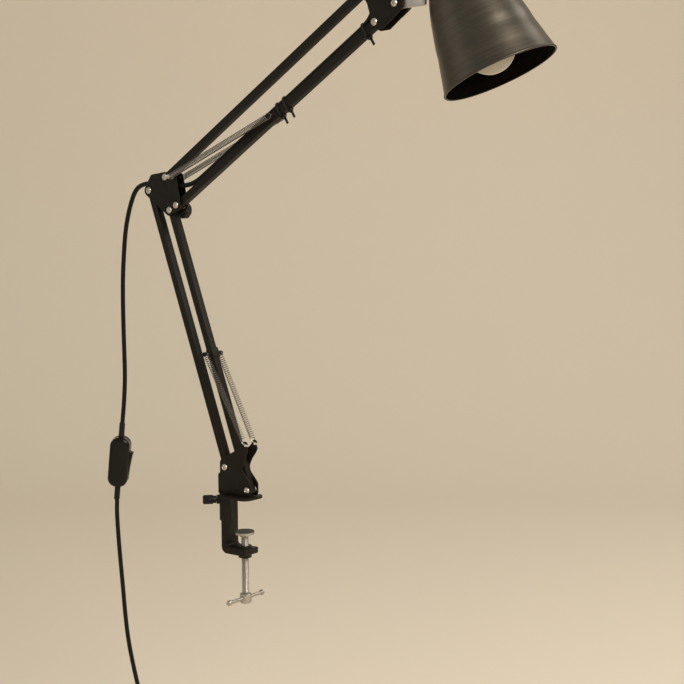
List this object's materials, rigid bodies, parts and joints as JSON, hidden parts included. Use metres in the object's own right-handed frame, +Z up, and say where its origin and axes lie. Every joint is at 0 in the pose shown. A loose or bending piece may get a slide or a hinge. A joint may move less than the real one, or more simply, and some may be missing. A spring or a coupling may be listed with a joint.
{
  "type": "balanced-arm clamp desk lamp",
  "caption": "Desk lamp on a screw clamp, with sprung parallel-bar arms that keep its bell shade level, a tilting and swivelling head, and a cord with an in-line rocker switch.",
  "frame": {"origin": "middle of the clamp's upper jaw face, where it rests on the desk top", "axes": "+Z up, +X the way the arms reach, Y along the pivot bolts, whose heads are on the -Y side"},
  "size_m": [0.7643, 0.1385, 1.2201],
  "materials": {
    "black_steel": "satin",
    "zinc": "satin",
    "spring_wire": "satin",
    "black_plastic": "matte",
    "switch_plastic": "gloss",
    "nylon": "matte",
    "pad_rubber": "matte",
    "shade_paint": "satin",
    "brass": "satin",
    "bulb_glass": "frosted",
    "bulb_metal": "satin",
    "cord_rubber": "matte"
  },
  "bodies": {
    "clamp": {"clamp_frame": "black_steel", "post_bush": "black_plastic"},
    "clamp_screw": {"clamp_screw": "zinc"},
    "tommy_bar": {"tommy_bar": "zinc"},
    "pressure_plate": {"pressure_plate": "zinc", "pressure_pad": "pad_rubber"},
    "lock_screw": {"lock_screw": "black_plastic"},
    "yoke": {"base_yoke": "black_steel", "swivel_post": "zinc", "base_bolts": "zinc", "base_nuts": "zinc", "base_washers": "nylon"},
    "lower_back": {"lower_back_bar": "black_steel", "lower_back_plugs": "black_plastic"},
    "lower_front": {"lower_front_bar": "black_steel", "lower_front_plugs": "black_plastic", "lower_saddle": "zinc", "lower_spring_near": "spring_wire", "lower_spring_far": "spring_wire"},
    "elbow": {"elbow_plate_near": "black_steel", "elbow_plate_far": "black_steel", "elbow_studs": "zinc", "elbow_bolts": "zinc", "elbow_nuts": "zinc", "elbow_washers": "nylon", "cord_elbow": "cord_rubber", "cord_hanging": "cord_rubber", "switch_shells": "switch_plastic", "switch_reliefs": "black_plastic", "cord_falling": "cord_rubber", "cord_coil": "cord_rubber", "coil_tie_and_plug": "black_plastic"},
    "elbow_knob": {"elbow_knob": "black_plastic"},
    "switch_rocker": {"switch_rocker": "switch_plastic"},
    "upper_top": {"upper_top_bar": "black_steel", "upper_top_plugs": "black_plastic"},
    "upper_bottom": {"upper_bottom_bar": "black_steel", "upper_bottom_plugs": "black_plastic", "upper_saddle": "zinc", "upper_spring_near": "spring_wire", "upper_spring_far": "spring_wire", "cable_ties": "black_plastic", "cord_on_arm": "cord_rubber"},
    "head": {"head_plate_near": "black_steel", "head_plate_far": "black_steel", "head_bolts": "zinc", "head_nuts": "zinc", "head_washers": "nylon", "cord_head": "cord_rubber"},
    "head_knob": {"head_knob": "black_plastic"},
    "bracket": {"shade_bracket": "zinc", "swivel_bolt": "zinc"},
    "shade": {"shade": "shade_paint", "holder_cap": "shade_paint", "lampholder": "black_plastic", "holder_contact": "brass", "shade_ring": "black_plastic", "bulb_glass": "bulb_glass", "bulb_cap": "bulb_metal", "cord_gland": "black_plastic"}
  },
  "joints": [
    {"name": "yoke_swivel", "type": "hinge", "parent": "clamp", "child": "yoke", "pos_m": [-0.033, 0, 0], "axis": [0, 0, 1], "continuous": true},
    {"name": "lower_arm", "type": "hinge", "parent": "yoke", "child": "lower_back", "pos_m": [-0.0284, 0, 0.0399], "axis": [0, 1, 0], "range_deg": [-18, 50]},
    {"name": "lower_front", "type": "hinge", "parent": "yoke", "child": "lower_front", "pos_m": [0.0113, 0, 0.0122], "axis": [0, 1, 0], "range_deg": [-18, 50], "deforming": ["lower_spring_near", "lower_spring_far"]},
    {"name": "elbow_level", "type": "hinge", "parent": "lower_back", "child": "elbow", "pos_m": [-0.16455, 0, 0.41602], "axis": [0, 1, 0], "range_deg": [-50, 18]},
    {"name": "upper_arm", "type": "hinge", "parent": "elbow", "child": "upper_top", "pos_m": [-0.13255, 0, 0.43361], "axis": [0, 1, 0], "range_deg": [-53, 42]},
    {"name": "upper_bottom", "type": "hinge", "parent": "elbow", "child": "upper_bottom", "pos_m": [-0.11215, 0, 0.39482], "axis": [0, 1, 0], "range_deg": [-53, 42], "deforming": ["upper_spring_near", "upper_spring_far", "cord_elbow"]},
    {"name": "head_level", "type": "hinge", "parent": "upper_bottom", "child": "head", "pos_m": [0.2267, 0, 0.60737], "axis": [0, 1, 0], "range_deg": [-42, 53]},
    {"name": "shade_tilt", "type": "hinge", "parent": "head", "child": "bracket", "pos_m": [0.2562, 0, 0.62628], "axis": [0, 1, 0], "range_deg": [-60, 50], "deforming": ["cord_head"]},
    {"name": "shade_swivel", "type": "hinge", "parent": "bracket", "child": "shade", "pos_m": [0.3251, 0, 0.68179], "axis": [0.9239, 0, 0.3827], "range_deg": [-80, 80]},
    {"name": "clamp_screw", "type": "slide", "parent": "clamp", "child": "clamp_screw", "axis": [0, 0, 1], "range_m": [-0.01, 0.04]},
    {"name": "pressure_plate_spin", "type": "hinge", "parent": "clamp_screw", "child": "pressure_plate", "pos_m": [0, 0, -0.05], "axis": [0, 0, 1], "continuous": true},
    {"name": "tommy_bar_slide", "type": "slide", "parent": "clamp_screw", "child": "tommy_bar", "axis": [0, 1, 0], "range_m": [-0.021, 0.021]},
    {"name": "lock_screw_turn", "type": "hinge", "parent": "clamp", "child": "lock_screw", "pos_m": [-0.04856, -0.01556, -0.0055], "axis": [-0.7071, -0.7071, 0], "continuous": true},
    {"name": "elbow_knob_turn", "type": "hinge", "parent": "elbow", "child": "elbow_knob", "pos_m": [-0.12485, 0.02, 0.38832], "axis": [0, 1, 0], "continuous": true},
    {"name": "head_knob_turn", "type": "hinge", "parent": "head", "child": "head_knob", "pos_m": [0.2562, 0.014, 0.62628], "axis": [0, 1, 0], "continuous": true},
    {"name": "rocker", "type": "hinge", "parent": "elbow", "child": "switch_rocker", "pos_m": [-0.28614, 0.05146, 0.00791], "axis": [-0.6094, 0.7885, 0.0834], "range_deg": [0, 18]}
  ],
  "couplings": [
    {"joint": "lower_front", "follows": "lower_arm", "ratio": 1},
    {"joint": "elbow_level", "follows": "lower_arm", "ratio": -1},
    {"joint": "upper_bottom", "follows": "upper_arm", "ratio": 1},
    {"joint": "head_level", "follows": "upper_arm", "ratio": -1}
  ]
}
